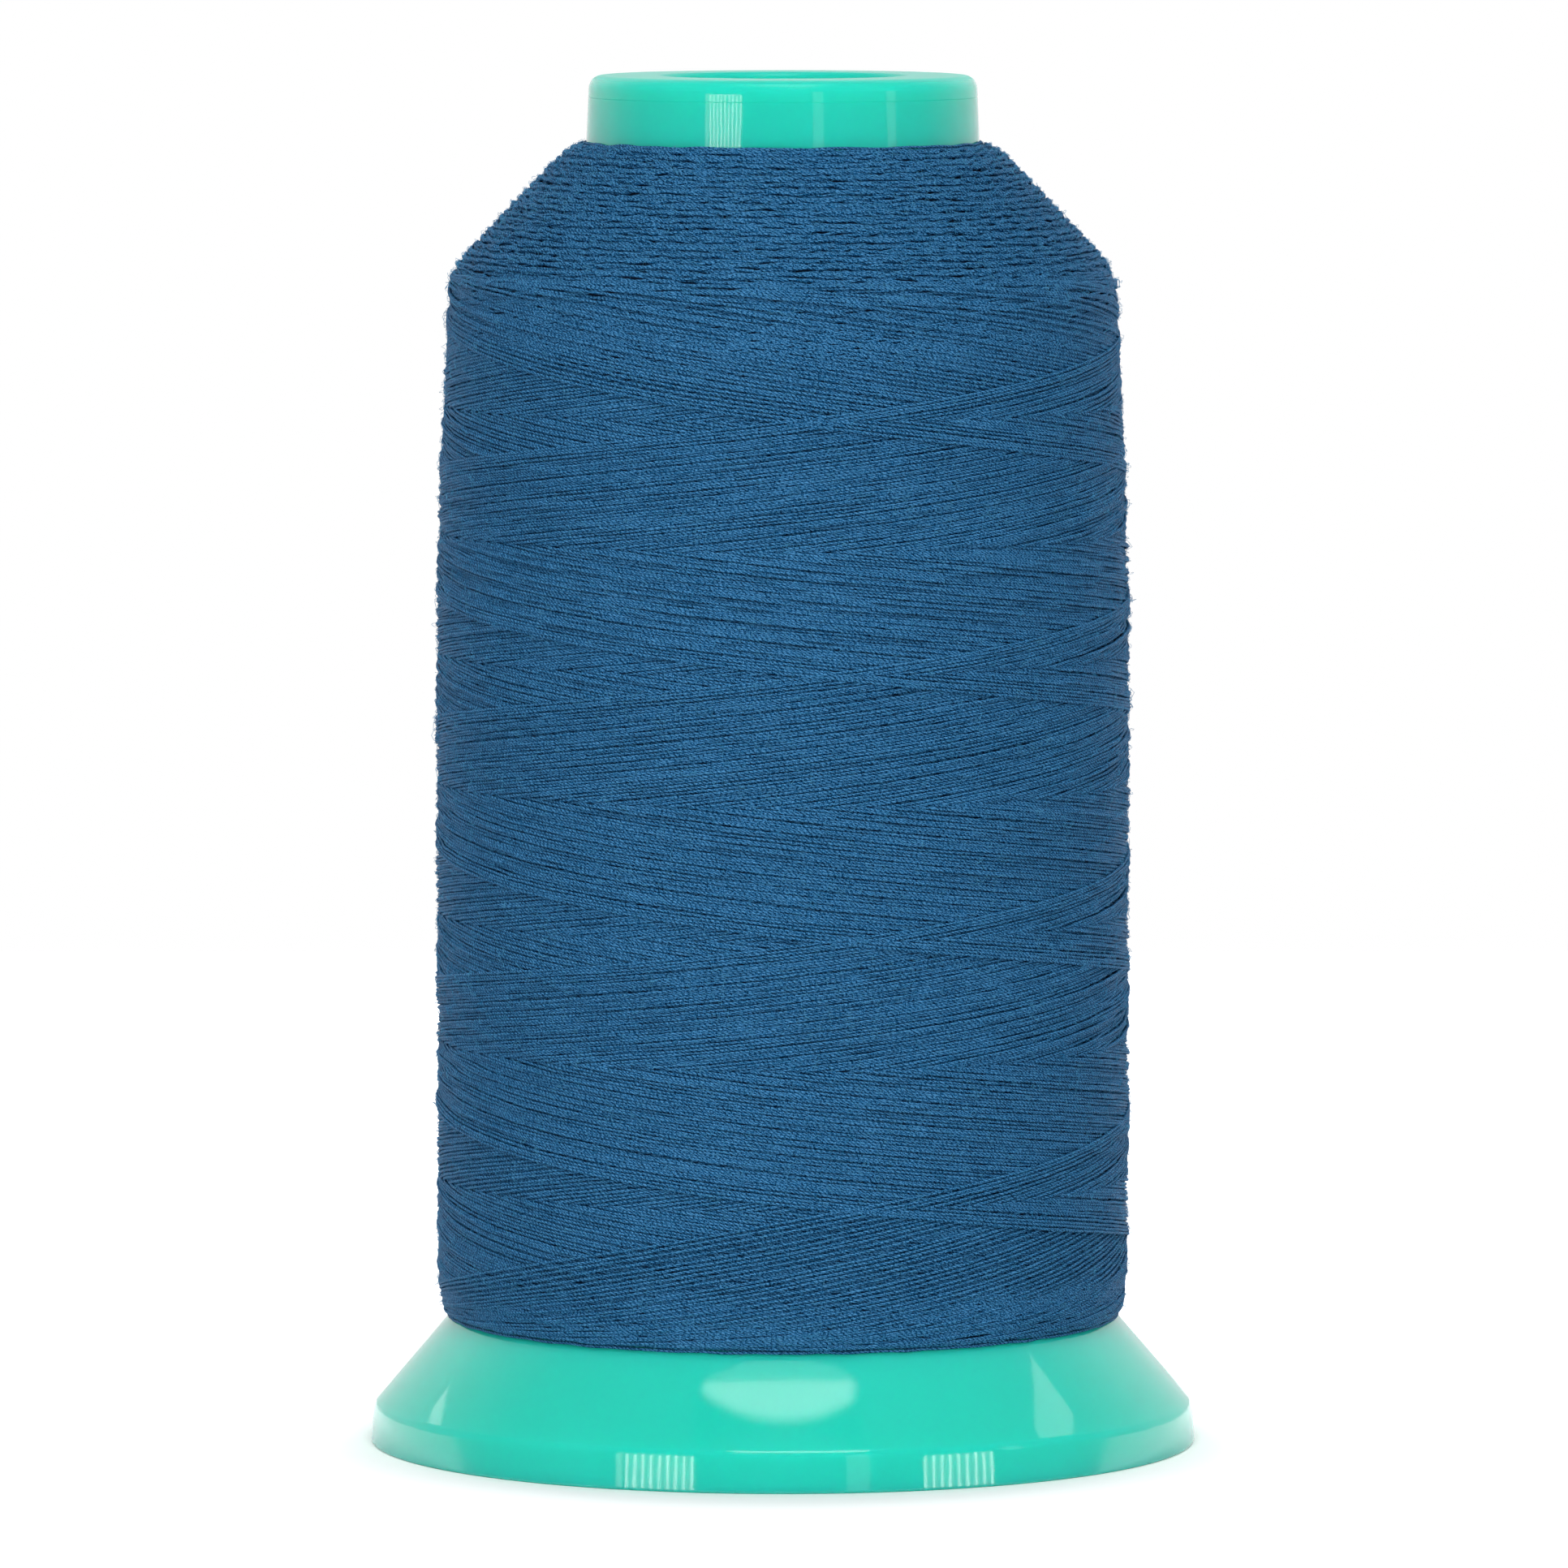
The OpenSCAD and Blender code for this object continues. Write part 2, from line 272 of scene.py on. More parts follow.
# Slight swell of the moulded flank and crown of the rim (metres and 1/metres)
SWELL_HEIGHT = 0.0069
SWELL_BELOW = 0.0035
SWELL_ABOVE = 0.0055
SWELL_BEND = 8.0
RIM_HEIGHT = 0.0032
RIM_CROWN = 0.036
# Duller flat top of the head: heights where that begins and is full (metres), added roughness
TOP_START = 0.1194
TOP_FULL = 0.1198
TOP_ROUGHNESS = 0.28
# Roughness of the moulded faces, and how deep and how wide light glows in them
GLOSS = (0.035, 0.075)
PLASTIC_IOR = 1.49
GLOW_DEPTH = 0.006
GLOW_REACH = (0.15, 1.0, 0.85)

# Studio (metres and watts)
AMBIENT = 0.11
OVERHEAD_POWER = 4.6
FRONT_POWER = 8.8
SHEET_POWER = (0.15, 0.4)
RIM_POWER = 2.8
PANEL_GLOW = 5.8
PANEL_HEIGHT = 0.95
PANEL_STRIPE = 0.0205
PANEL_CONTRAST = 0.2
PANEL_CRISP = 0.008
PANEL_SOFT = 0.035
PANEL_SIDE = 0.06
PANEL_BEYOND = 0.28
PANEL_NEAR = -0.34
PANEL_FAR = -0.19
PANEL_LEFT = -0.30
PANEL_RIGHT = 0.27
PANEL_BACK = (-0.234, 0.68)
PANEL_FRONT = (-0.335, 1.4)
# Lights that show in reflections: glow, distance, width and height
SPOT_GLOW = 1.6
EDGE_GLOW = 4.0
SLAT_GLOW = 10.0
PANE_GLOW = 1.3
BAND_GLOW = 0.9
SLAT_DISTANCE = 0.9
SLAT_WIDTH = 0.0095
TALL_SLAT = 0.2
SHORT_SLAT = 0.062
# Lamps: places, aims and sizes. Bearings of the upright lights are degrees from the front
OVERHEAD_PLACE = (0.0, -0.55, 0.95)
OVERHEAD_AIM = (0.0, 0.0, 0.05)
OVERHEAD_SIZE = (0.6, 0.5)
FRONT_PLACE = (0.0, -1.6, 0.75)
FRONT_AIM = (0.0, 0.0, 0.06)
FRONT_SIZE = (0.9, 0.8)
EDGE_PLACE = (0.08, -0.75, 0.9)
EDGE_AIM = (0.0, 0.0, 0.1)
EDGE_SIZE = (0.65, 0.28)
RIM_PLACE = (0.45, 0.78, 0.25)
RIM_AIM = (0.0, 0.0, 0.07)
RIM_SIZE = (0.4, 0.6)
SHEET_PLACE = (0.8, 0.1, 0.3)
SHEET_AIM = (0.0, 0.0, 0.06)
SHEET_SIZE = (0.8, 0.9)
LEFT_SLATS = (-43.0, -24.6)
LEFT_PANE = -45.2
RIGHT_SLATS = (39.0, 59.0)
SLATS = 9
SOFT_BANDS = ((20.5, 0), (66.5, 1.1 * SHORT_SLAT))
BAND_WIDTH = 0.10
BAND_TOP = 0.4
# Small far lights: (x, y, size)
SPOTS = ((0.97, 0.35, (0.16, 0.34)), (-1.36, 1.25, (0.08, 0.4)))
# Brightness of the room in reflections, from the front to the back, and how far height shifts it
ROOM_LEAN = -0.35
ROOM_GREYS = ((0.0, 0.06), (0.15, 0.14), (0.5, 0.28), (0.8, 1.0))
# Floor: half its width, and where round the foot its own glow begins and is full; the weaker glow near
# the foot is a painted soft shadow, centred a little to the front
FLOOR_HALF = 0.45
FLOOR_GREYS = ((0.90, 0.90, 0.90), (0.91, 0.91, 0.91))
PAINTED_SHADOW_SHIFT = 0.006
PAINTED_SHADOW_NEAR = 0.0305
PAINTED_SHADOW_FAR = 0.0555

# Colours (linear)
# Thread from dark to pale: the ramp between them carries painted shade in ply grooves and on yarn sides,
# painted highlights on ply crests, and the thread's random fibre tone
NAVY = (0.0004, 0.014, 0.050)
BLUE = (0.002, 0.092, 0.242)
PALE_BLUE = (0.09, 0.32, 0.61)
# Buried turns: the same thread coloured far darker, painted shade for the turns lying under the outer
# yarns
SHADED_BURIED_DARK = (0.002, 0.015, 0.045)
SHADED_BURIED_LIGHT = (0.008, 0.05, 0.13)
FLUFF_DULL = (0.025, 0.20, 0.41)
FLUFF_PALE = (0.10, 0.38, 0.62)
TEAL = (0.023, 0.71, 0.53)
TUBE_DEEP = (0.019, 0.68, 0.505)
BASE_DEEP = (0.019, 0.67, 0.50)
WHITE = (1.0, 1.0, 1.0, 1.0)
BLACK = (0.0, 0.0, 0.0, 1.0)

rng = np.random.default_rng(20)


# ---------------------------------------------------------------- node helpers
def new_material(name):
    """New material, its node tree and its Principled shader, linked to the output."""
    material = bpy.data.materials.new(name)
    material.use_nodes = True
    tree = material.node_tree
    tree.nodes.clear()
    shader = tree.nodes.new("ShaderNodeBsdfPrincipled")
    output = tree.nodes.new("ShaderNodeOutputMaterial")
    tree.links.new(shader.outputs["BSDF"], output.inputs["Surface"])
    return material, tree, shader


def math_node(tree, operation, first, second=None, third=None):
    """Math node whose inputs may be sockets or plain numbers."""
    node = tree.nodes.new("ShaderNodeMath")
    node.operation = operation
    for socket, value in zip(node.inputs, (first, second, third)):
        if value is None:
            continue
        if isinstance(value, bpy.types.NodeSocket):
            tree.links.new(value, socket)
        else:
            socket.default_value = value
    return node.outputs["Value"]


def noise_node(tree, vector, scale, detail=3.0, roughness=0.5):
    """Noise value over the given coordinates."""
    node = tree.nodes.new("ShaderNodeTexNoise")
    node.inputs["Scale"].default_value = scale
    node.inputs["Detail"].default_value = detail
    node.inputs["Roughness"].default_value = roughness
    tree.links.new(vector, node.inputs["Vector"])
    return node.outputs["Fac"]


def ramp_node(tree, factor, stops):
    """Colour ramp through (place, colour) stops."""
    node = tree.nodes.new("ShaderNodeValToRGB")
    ramp = node.color_ramp
    stops = tuple(stops)
    while len(ramp.elements) < len(stops):
        ramp.elements.new(1.0)
    for element, (place, colour) in zip(ramp.elements, stops):
        element.position = place
        element.color = (*colour, 1.0)
    tree.links.new(factor, node.inputs["Fac"])
    return node.outputs["Color"]


def spread_node(tree, factor, low, high):
    """Maps 0..1 onto low..high."""
    node = tree.nodes.new("ShaderNodeMapRange")
    node.inputs["To Min"].default_value = low
    node.inputs["To Max"].default_value = high
    tree.links.new(factor, node.inputs["Value"])
    return node.outputs["Result"]


def bump_node(tree, height, distance, strength=1.0, under=None):
    """Bump from a height in 0..1, optionally on top of another normal."""
    node = tree.nodes.new("ShaderNodeBump")
    node.inputs["Strength"].default_value = strength
    node.inputs["Distance"].default_value = distance
    tree.links.new(height, node.inputs["Height"])
    if under is not None:
        tree.links.new(under, node.inputs["Normal"])
    return node.outputs["Normal"]


# ---------------------------------------------------------------- materials
def plastic_material(name, colour, deep):
    """Glossy, slightly translucent moulded polypropylene."""
    material, tree, shader = new_material(name)
    place = tree.nodes.new("ShaderNodeTexCoord").outputs["Object"]
    cloud = noise_node(tree, place, CLOUD_SCALE, detail=2.0)
    tint = ramp_node(tree, cloud, zip(CLOUD_STOPS, (deep, colour)))
    tree.links.new(tint, shader.inputs["Base Color"])
    scuff = noise_node(tree, place, SCUFF_SCALE, detail=4.0, roughness=0.6)
    split = tree.nodes.new("ShaderNodeSeparateXYZ")
    tree.links.new(place, split.inputs["Vector"])
    matt = tree.nodes.new("ShaderNodeMapRange")
    matt.inputs["From Min"].default_value = TOP_START
    matt.inputs["From Max"].default_value = TOP_FULL
    matt.inputs["To Max"].default_value = TOP_ROUGHNESS
    tree.links.new(split.outputs["Z"], matt.inputs["Value"])
    rough = math_node(tree, "ADD", spread_node(tree, scuff, *GLOSS), matt.outputs["Result"])
    tree.links.new(rough, shader.inputs["Roughness"])
    off = math_node(tree, "SUBTRACT", split.outputs["Z"], SWELL_HEIGHT)
    near = math_node(tree, "MINIMUM", math_node(tree, "MAXIMUM", off, -SWELL_BELOW), SWELL_ABOVE)
    swell = math_node(tree, "MULTIPLY", math_node(tree, "MULTIPLY", near, near), -SWELL_BEND)
    foot = math_node(tree, "MINIMUM", split.outputs["Z"], RIM_HEIGHT)
    rim = math_node(tree, "MULTIPLY", foot, -RIM_CROWN)
    swollen = bump_node(tree, math_node(tree, "ADD", swell, rim), 1.0)
    wave = noise_node(tree, place, WAVE_SCALE, detail=1.0)
    soft = bump_node(tree, wave, WAVE_BUMP, WAVE_STRENGTH, swollen)
    scuffed = bump_node(tree, scuff, SCUFF_BUMP, SCUFF_STRENGTH, soft)
    tree.links.new(scuffed, shader.inputs["Normal"])
    shader.inputs["IOR"].default_value = PLASTIC_IOR
    shader.inputs["Subsurface Weight"].default_value = 0.8
    shader.inputs["Subsurface Radius"].default_value = GLOW_REACH
    shader.inputs["Subsurface Scale"].default_value = GLOW_DEPTH
    return material


def yarn_material(name, dark, mid, light):
    """Plied spun thread: the twist runs along the yarn's own length and round it. Its colour carries
    painted highlights on the ply crests, painted shade in the grooves between plies and painted shade on
    the yarn's sides that face its neighbours.
    """
    material, tree, shader = new_material(name)
    uv = tree.nodes.new("ShaderNodeUVMap")
    uv.uv_map = "Yarn"
    split = tree.nodes.new("ShaderNodeSeparateXYZ")
    tree.links.new(uv.outputs["UV"], split.inputs["Vector"])
    along = split.outputs["X"]
    around = math_node(tree, "MULTIPLY", split.outputs["Y"], 2 * math.pi)
    wander = noise_node(tree, uv.outputs["UV"], WANDER_SCALE)
    turn = math_node(tree, "MULTIPLY", along, 2 * math.pi / PLY_LAY)
    turn = math_node(tree, "ADD", turn, math_node(tree, "MULTIPLY", wander, PLY_WANDER))
    phase = math_node(tree, "SUBTRACT", around, turn)
    lobe = math_node(tree, "MULTIPLY", phase, PLIES / 2)
    ply = math_node(tree, "ABSOLUTE", math_node(tree, "COSINE", lobe))
    fibre_place = tree.nodes.new("ShaderNodeCombineXYZ")
    tree.links.new(math_node(tree, "MULTIPLY", along, FIBRE_ALONG), fibre_place.inputs["X"])
    tree.links.new(math_node(tree, "MULTIPLY", phase, FIBRE_ROUND), fibre_place.inputs["Y"])
    fibre = noise_node(tree, fibre_place.outputs["Vector"], FIBRE_SCALE, detail=4.0, roughness=0.7)
    tangle_place = tree.nodes.new("ShaderNodeCombineXYZ")
    tree.links.new(along, tangle_place.inputs["X"])
    girth = 2 * math.pi * YARN_RADIUS
    tree.links.new(math_node(tree, "MULTIPLY", split.outputs["Y"], girth), tangle_place.inputs["Y"])
    tangle = noise_node(tree, tangle_place.outputs["Vector"], STRAND_SCALE, detail=2.0, roughness=0.6)
    strand = math_node(tree, "ABSOLUTE", math_node(tree, "SUBTRACT", tangle, 0.5))
    strand = math_node(tree, "MULTIPLY_ADD", strand, STRAND_SLOPE, 1.0)
    strand = math_node(tree, "MAXIMUM", strand, 0.0)
    slow = noise_node(tree, uv.outputs["UV"], SLOW_SCALE, detail=2.0, roughness=0.6)
    # 1 on the yarn's top, 0 underneath: it dims the ply strokes on the yarn's sides as painted shade
    facing = math_node(tree, "MULTIPLY_ADD", math_node(tree, "COSINE", around), 0.5, 0.5)
    # Ply strokes: painted highlights on the ply crests and painted shade in the grooves between plies
    shade = math_node(tree, "MULTIPLY", math_node(tree, "POWER", ply, PLY_SHARPNESS), facing)
    shade = math_node(tree, "MULTIPLY_ADD", shade, PLY_LIGHT_AND_SHADE_SHARE, SHADE_LEVEL)
    shade = math_node(tree, "MULTIPLY_ADD", fibre, FIBRE_SHARE, shade)
    shade = math_node(tree, "MULTIPLY_ADD", strand, STRAND_SHARE, shade)
    shade = math_node(tree, "MULTIPLY_ADD", slow, SLOW_SHARE, shade)
    colour = ramp_node(tree, shade, zip(SHADE_STOPS, (dark, mid, light)))
    tree.links.new(colour, shader.inputs["Base Color"])
    lobes = bump_node(tree, ply, PLY_BUMP, BUMP_STRENGTH)
    woolly = bump_node(tree, fibre, FIBRE_BUMP, BUMP_STRENGTH, lobes)
    spun = bump_node(tree, strand, STRAND_BUMP, BUMP_STRENGTH, woolly)
    tree.links.new(spun, shader.inputs["Normal"])
    tree.links.new(spread_node(tree, fibre, *YARN_ROUGHNESS), shader.inputs["Roughness"])
    shader.inputs["Specular IOR Level"].default_value = 0.04
    return material


def core_material(name, dark, light):
    """Buried turns of thread: fine lines round the axis under the outer yarns, coloured darker than the
    thread as painted shade, with painted shade in the grooves between the lines.
    """
    material, tree, shader = new_material(name)
    place = tree.nodes.new("ShaderNodeTexCoord").outputs["Object"]
    split = tree.nodes.new("ShaderNodeSeparateXYZ")
    tree.links.new(place, split.inputs["Vector"])
    turns = math_node(tree, "MULTIPLY", split.outputs["Z"], 2 * math.pi / CORE_LINES)
    # Dark where the lines meet: painted shade in the grooves between buried turns
    lines = math_node(tree, "ABSOLUTE", math_node(tree, "SINE", turns))
    cloud = noise_node(tree, place, CORE_SCALE)
    shade = math_node(tree, "MULTIPLY", lines, cloud)
    colour = ramp_node(tree, shade, zip(CORE_STOPS, (dark, light)))
    tree.links.new(colour, shader.inputs["Base Color"])
    tree.links.new(bump_node(tree, lines, CORE_BUMP), shader.inputs["Normal"])
    shader.inputs["Roughness"].default_value = 0.85
    return material


def fuzz_material(name, dull, pale):
    """Stray polyester fibres that catch the light."""
    material, tree, shader = new_material(name)
    place = tree.nodes.new("ShaderNodeTexCoord").outputs["Object"]
    cloud = noise_node(tree, place, FLUFF_SCALE, detail=2.0)
    colour = ramp_node(tree, cloud, zip(CLOUD_STOPS, (dull, pale)))
    tree.links.new(colour, shader.inputs["Base Color"])
    shader.inputs["Roughness"].default_value = 0.5
    shader.inputs["Specular IOR Level"].default_value = 0.1
    return material


def seen_ray(tree):
    """1 for rays that show a surface as background: camera, glossy and transmitted rays."""
    path = tree.nodes.new("ShaderNodeLightPath")
    seen = math_node(tree, "MAXIMUM", path.outputs["Is Camera Ray"], path.outputs["Is Glossy Ray"])
    return math_node(tree, "MAXIMUM", seen, path.outputs["Is Transmission Ray"])


def floor_material():
    """Plain white studio floor that keeps the lamps' soft shadow under the foot; its glow also fades
    towards the foot, a painted soft shadow round it, centred a little to the front.
    """
    material, tree, shader = new_material("studio_floor")
    place = tree.nodes.new("ShaderNodeTexCoord").outputs["Object"]
    cloud = noise_node(tree, place, FLOOR_SCALE, detail=2.0)
    white = ramp_node(tree, cloud, zip(CLOUD_STOPS, FLOOR_GREYS))
    tree.links.new(white, shader.inputs["Base Color"])
    shader.inputs["Roughness"].default_value = 0.7
    shader.inputs["Specular IOR Level"].default_value = 0.1
    shader.inputs["Emission Color"].default_value = WHITE
    # Glow grows with distance from a point just in front of the axis: painted soft shadow round the foot
    from_painted_shadow = tree.nodes.new("ShaderNodeVectorMath")
    from_painted_shadow.operation = "DISTANCE"
    tree.links.new(place, from_painted_shadow.inputs[0])
    from_painted_shadow.inputs[1].default_value = (0.0, -PAINTED_SHADOW_SHIFT, 0.0)
    fade = tree.nodes.new("ShaderNodeMapRange")
    fade.inputs["From Min"].default_value = PAINTED_SHADOW_NEAR
    fade.inputs["From Max"].default_value = PAINTED_SHADOW_FAR
    tree.links.new(from_painted_shadow.outputs["Value"], fade.inputs["Value"])
    glow = math_node(tree, "MULTIPLY", seen_ray(tree), fade.outputs["Result"])
    tree.links.new(glow, shader.inputs["Emission Strength"])
    return material


# ---------------------------------------------------------------- package surface
class Surface:
    """The wound package's meridian, by arc length, equal to height on the body."""

    def __init__(self):
        height = np.linspace(PACKAGE_BOTTOM, PACKAGE_TOP, SURFACE_STEPS)
        crown = CROWN_DROP * (np.clip(height - CROWN_START, 0, None) / CROWN_SPAN) ** CROWN_POWER
        tuck = TUCK_DROP * (np.clip(TUCK_START - height, 0, None) / TUCK_SPAN) ** 2
        body = BODY_RADIUS - crown - tuck
        cone = SHOULDER_RADIUS - (height - SHOULDER_HEIGHT) * SHOULDER_SLOPE
        blend = np.exp(-body / CORNER_SOFTNESS) + np.exp(-cone / CORNER_SOFTNESS)
        radius = -CORNER_SOFTNESS * np.log(blend)
        radius = radius - NECK_TURN * np.exp((height - PACKAGE_TOP) / NECK_REACH)
        run = np.concatenate(([0.0], np.cumsum(np.hypot(np.diff(radius), np.diff(height)))))
        self.height = height
        self.radius = radius
        self.run = run + PACKAGE_BOTTOM
        self.tilt_r = np.gradient(height, self.run)
        self.tilt_z = -np.gradient(radius, self.run)
        self.end = float(self.run[-1])

    def at(self, run):
        """Radius, height and outward normal (radial, vertical) at arc lengths."""
        radius = np.interp(run, self.run, self.radius)
        height = np.interp(run, self.run, self.height)
        normal_r = np.interp(run, self.run, self.tilt_r)
        normal_z = np.interp(run, self.run, self.tilt_z)
        return radius, height, normal_r, normal_z


def smooth_path(angles):
    """Height along the surface over one double stroke, as a monotone cubic."""
    keys = np.array(STROKE_PATH)
    before = keys[-2:] - (STROKE_TURN, 0.0)
    after = keys[:3] + (STROKE_TURN, 0.0)
    keys = np.vstack((before, keys, after))
    gap = np.diff(keys[:, 0])
    slope = np.diff(keys[:, 1]) / gap
    same = slope[:-1] * slope[1:] > 0
    weight_a = 2 * gap[1:] + gap[:-1]
    weight_b = gap[1:] + 2 * gap[:-1]
    safe_a = np.where(same, slope[:-1], 1.0)
    safe_b = np.where(same, slope[1:], 1.0)
    inner = np.where(same, (weight_a + weight_b) / (weight_a / safe_a + weight_b / safe_b), 0.0)
    tangent = np.concatenate(([slope[0]], inner, [slope[-1]]))
    place = np.clip(np.searchsorted(keys[:, 0], angles, side="right") - 1, 0, len(gap) - 1)
    part = (angles - keys[place, 0]) / gap[place]
    start = keys[place, 1]
    stop = keys[place + 1, 1]
    lift = gap[place]
    square = part * part
    cube = square * part
    return (
        (2 * cube - 3 * square + 1) * start
        + (cube - 2 * square + part) * lift * tangent[place]
        + (-2 * cube + 3 * square) * stop
        + (cube - square) * lift * tangent[place + 1]
    )


def ripple(count, spacing, amount, shortest, longest):
    """Slow random waviness along a yarn."""
    place = np.arange(count) * spacing
    total = np.zeros(count)
    for _ in range(WAVES):
        length = rng.uniform(shortest, longest)
        total += np.sin(2 * math.pi * place / length + rng.uniform(0, 2 * math.pi))
    return total * amount / math.sqrt(WAVES)


def taut(floor, spacing):
    """Heights of a taut thread over a floor of obstacles on a round surface."""
    place = np.arange(len(floor)) * spacing
    bend = place * place / (2 * TAUT_RADIUS)
    flat = (floor - bend).tolist()
    along = place.tolist()
    hull = []
    for index, value in enumerate(flat):
        while len(hull) > 1:
            first, last = hull[-2:]
            rise = (flat[last] - flat[first]) * (along[index] - along[first])
            if rise > (value - flat[first]) * (along[last] - along[first]):
                break
            hull.pop()
        hull.append(index)
    hull = np.array(hull)
    return np.interp(place, place[hull], (floor - bend)[hull]) + bend


class Winder:
    """Lays yarns one after another on a height map of the package surface."""

    def __init__(self, surface):
        self.surface = surface
        self.rows = int((surface.end - PACKAGE_BOTTOM) / ROW) + ROWS_SPARE
        self.map = np.zeros((self.rows, COLUMNS))
        self.reach = np.arange(-ROW_REACH, ROW_REACH + 1)
        self.laid = []

    def cover(self, run):
        """Rows near each sample and how high a pressed yarn bulges at each."""
        exact = (run - PACKAGE_BOTTOM) / ROW + ROWS_BELOW
        near = np.round(exact).astype(int)[:, None] + self.reach[None, :]
        aside = (near - exact[:, None]) * ROW
        bulge = np.sqrt(np.clip(PRESSED_RADIUS ** 2 - aside ** 2, 0, None))
        near = np.clip(near, 0, self.rows - 1)
        return near, bulge

    def stamp(self, column, run, centre):
        """Marks one yarn of known height on the map and keeps it."""
        near, bulge = self.cover(run)
        wrapped = np.broadcast_to((column % COLUMNS)[:, None], near.shape)
        top = np.where(bulge > TOUCH, centre[:, None] + bulge, -1.0)
        np.maximum.at(self.map, (near, wrapped), top)
        self.laid.append((column, run, centre))

    def lay(self, column, run, spacing):
        """Lays one taut yarn over what is there already."""
        near, bulge = self.cover(run)
        wrapped = (column % COLUMNS)[:, None]
        touch = bulge > TOUCH
        under = np.where(touch, self.map[near, wrapped] + bulge, -1.0).max(axis=1)
        self.stamp(column, run, taut(under, spacing))

    def bed(self):
        """Buried wavy turns that close the gaps between the outer ones."""
        column = np.arange(COLUMNS + BED_OVERLAP)
        angle = np.radians(column * 360 / COLUMNS)
        for start in np.arange(PACKAGE_BOTTOM + BED_EDGE, self.surface.end - BED_EDGE, BED_PITCH):
            swing = BED_SWING * np.sin(BED_SWINGS * angle + start / BED_SHIFT)
            run = start + swing + ripple(len(column), COLUMN_SPACING, *BED_WAVES)
            run = np.clip(run, PACKAGE_BOTTOM + EDGE, self.surface.end - EDGE)
            lift = ripple(len(column), COLUMN_SPACING, *BED_LIFT_WAVES)
            self.stamp(column, run, lift - PRESSED_RADIUS)

    def arc_columns(self, index, radius):
        """Columns of one turning arc and the way along it from its tip."""
        centre = -index * ARC_STEP + rng.normal(0, ARC_SCATTER)
        half = math.degrees(ARC_HALF / radius)
        first = math.ceil((centre - half) * COLUMNS / 360)
        last = math.floor((centre + half) * COLUMNS / 360)
        column = np.arange(first, last + 1)
        return column, np.radians(column * 360 / COLUMNS - centre) * radius

    def shoulder(self):
        """Turning arcs of older and older layers, from the neck down to the corner."""
        top = self.surface.end - EDGE
        drift = 0.0
        for index in range(SHOULDER_ARCS):
            part = index / (SHOULDER_ARCS - 1)
            drift = ARC_DRIFT[0] * drift + rng.normal(0, ARC_DRIFT[1])
            tip = top - (top - ARC_LOW) * part + drift + rng.uniform(-ARC_JITTER, ARC_JITTER)
            tip = min(tip, self.surface.end - ARC_JITTER)
            radius = float(self.surface.at(tip)[0])
            column, place = self.arc_columns(index, radius)
            drop = place ** 2 / (2 * rng.uniform(*ARC_BENDS))
            spacing = math.radians(360 / COLUMNS) * radius
            run = tip - ARC_SAG * drop + ripple(len(column), spacing, *ARC_WAVES)
            buried = BURIED * min(1.0, (tip - BURIED_START) / BURIED_SPAN)
            height = buried + ripple(len(column), spacing, *ARC_LIFT_WAVES)
            height = height + rng.normal(0, ARC_LIFT_SCATTER)
            height = height - ARC_DIVE * drop + ARC_TAIL * np.minimum(place, 0)
            self.stamp(column, run, height)

    def lower_edge(self):
        """Turning arcs of older layers at the package's lower end."""
        for index in range(LOWER_ARCS):
            part = index / (LOWER_ARCS - 1)
            spread = LOWER_SPREAD * (1 - part) ** 2
            tip = PACKAGE_BOTTOM + LOWER_START + spread + rng.uniform(0, LOWER_JITTER)
            column, place = self.arc_columns(index, BODY_RADIUS)
            rise = place ** 2 / (2 * rng.uniform(*LOWER_BENDS))
            run = tip + rise + ripple(len(column), COLUMN_SPACING, *LOWER_WAVES)
            lift = ripple(len(column), COLUMN_SPACING, *LOWER_LIFT_WAVES)
            self.stamp(column, run, LOWER_LIFT - LOWER_DIVE * rise + lift)

    def strokes(self):
        """The last double strokes of the winder over the whole package."""
        drift = 0.0
        creep_top = 0.0
        creep_low = 0.0
        for age in range(STROKES - 1, -1, -1):
            drift = STROKE_DRIFT[0] * drift + rng.normal(0, STROKE_DRIFT[1])
            creep_top = TOP_CREEP[0] * creep_top + rng.normal(0, TOP_CREEP[1])
            creep_low = LOW_CREEP[0] * creep_low + rng.normal(0, LOW_CREEP[1])
            begin = FIRST_TIP + age * STEP_PER_STROKE + drift * min(1.0, age / DRIFT_AGE)
            first = math.ceil(begin * COLUMNS / 360)
            last = math.floor((begin + STROKE_TURN) * COLUMNS / 360)
            column = np.arange(first, last + 1)
            angle = column * 360 / COLUMNS - begin
            run = smooth_path(angle)
            run = run - abs(creep_top) * np.exp(-((angle - TOP_TIP) / TOP_REACH) ** 2)
            from_low = np.minimum(angle, STROKE_TURN - angle)
            run = run + abs(creep_low) * np.exp(-(from_low / LOW_REACH) ** 2)
            slow = ripple(len(run), COLUMN_SPACING, *STROKE_SLOW_WAVES)
            run = run + slow + ripple(len(run), COLUMN_SPACING, *STROKE_FAST_WAVES)
            self.lay(column, run, COLUMN_SPACING)

    def level(self):
        """Usual height of the finished surface at every row."""
        middle = np.median(self.map, axis=1)
        filled = np.flatnonzero(middle > LEVEL_LEAST)
        middle = np.interp(np.arange(self.rows), filled, middle[filled])
        width = int(LEVEL_REACH / ROW)
        padded = np.pad(middle, width, mode="edge")
        window = np.hanning(2 * width + 1)
        return np.convolve(padded, window / window.sum(), mode="valid")

    def crest(self, run, angle):
        """Height of the yarns' tops over the package surface at given places."""
        exact = (run - PACKAGE_BOTTOM) / ROW + ROWS_BELOW
        row = np.clip(np.round(exact).astype(int), 0, self.rows - 1)
        column = np.round(np.degrees(angle) * COLUMNS / 360).astype(int) % COLUMNS
        height = self.map[row, column] - self.level()[row] - 2 * PRESSED_RADIUS + YARN_RADIUS
        return np.clip(height, DEEPEST, CREST_LIMIT)

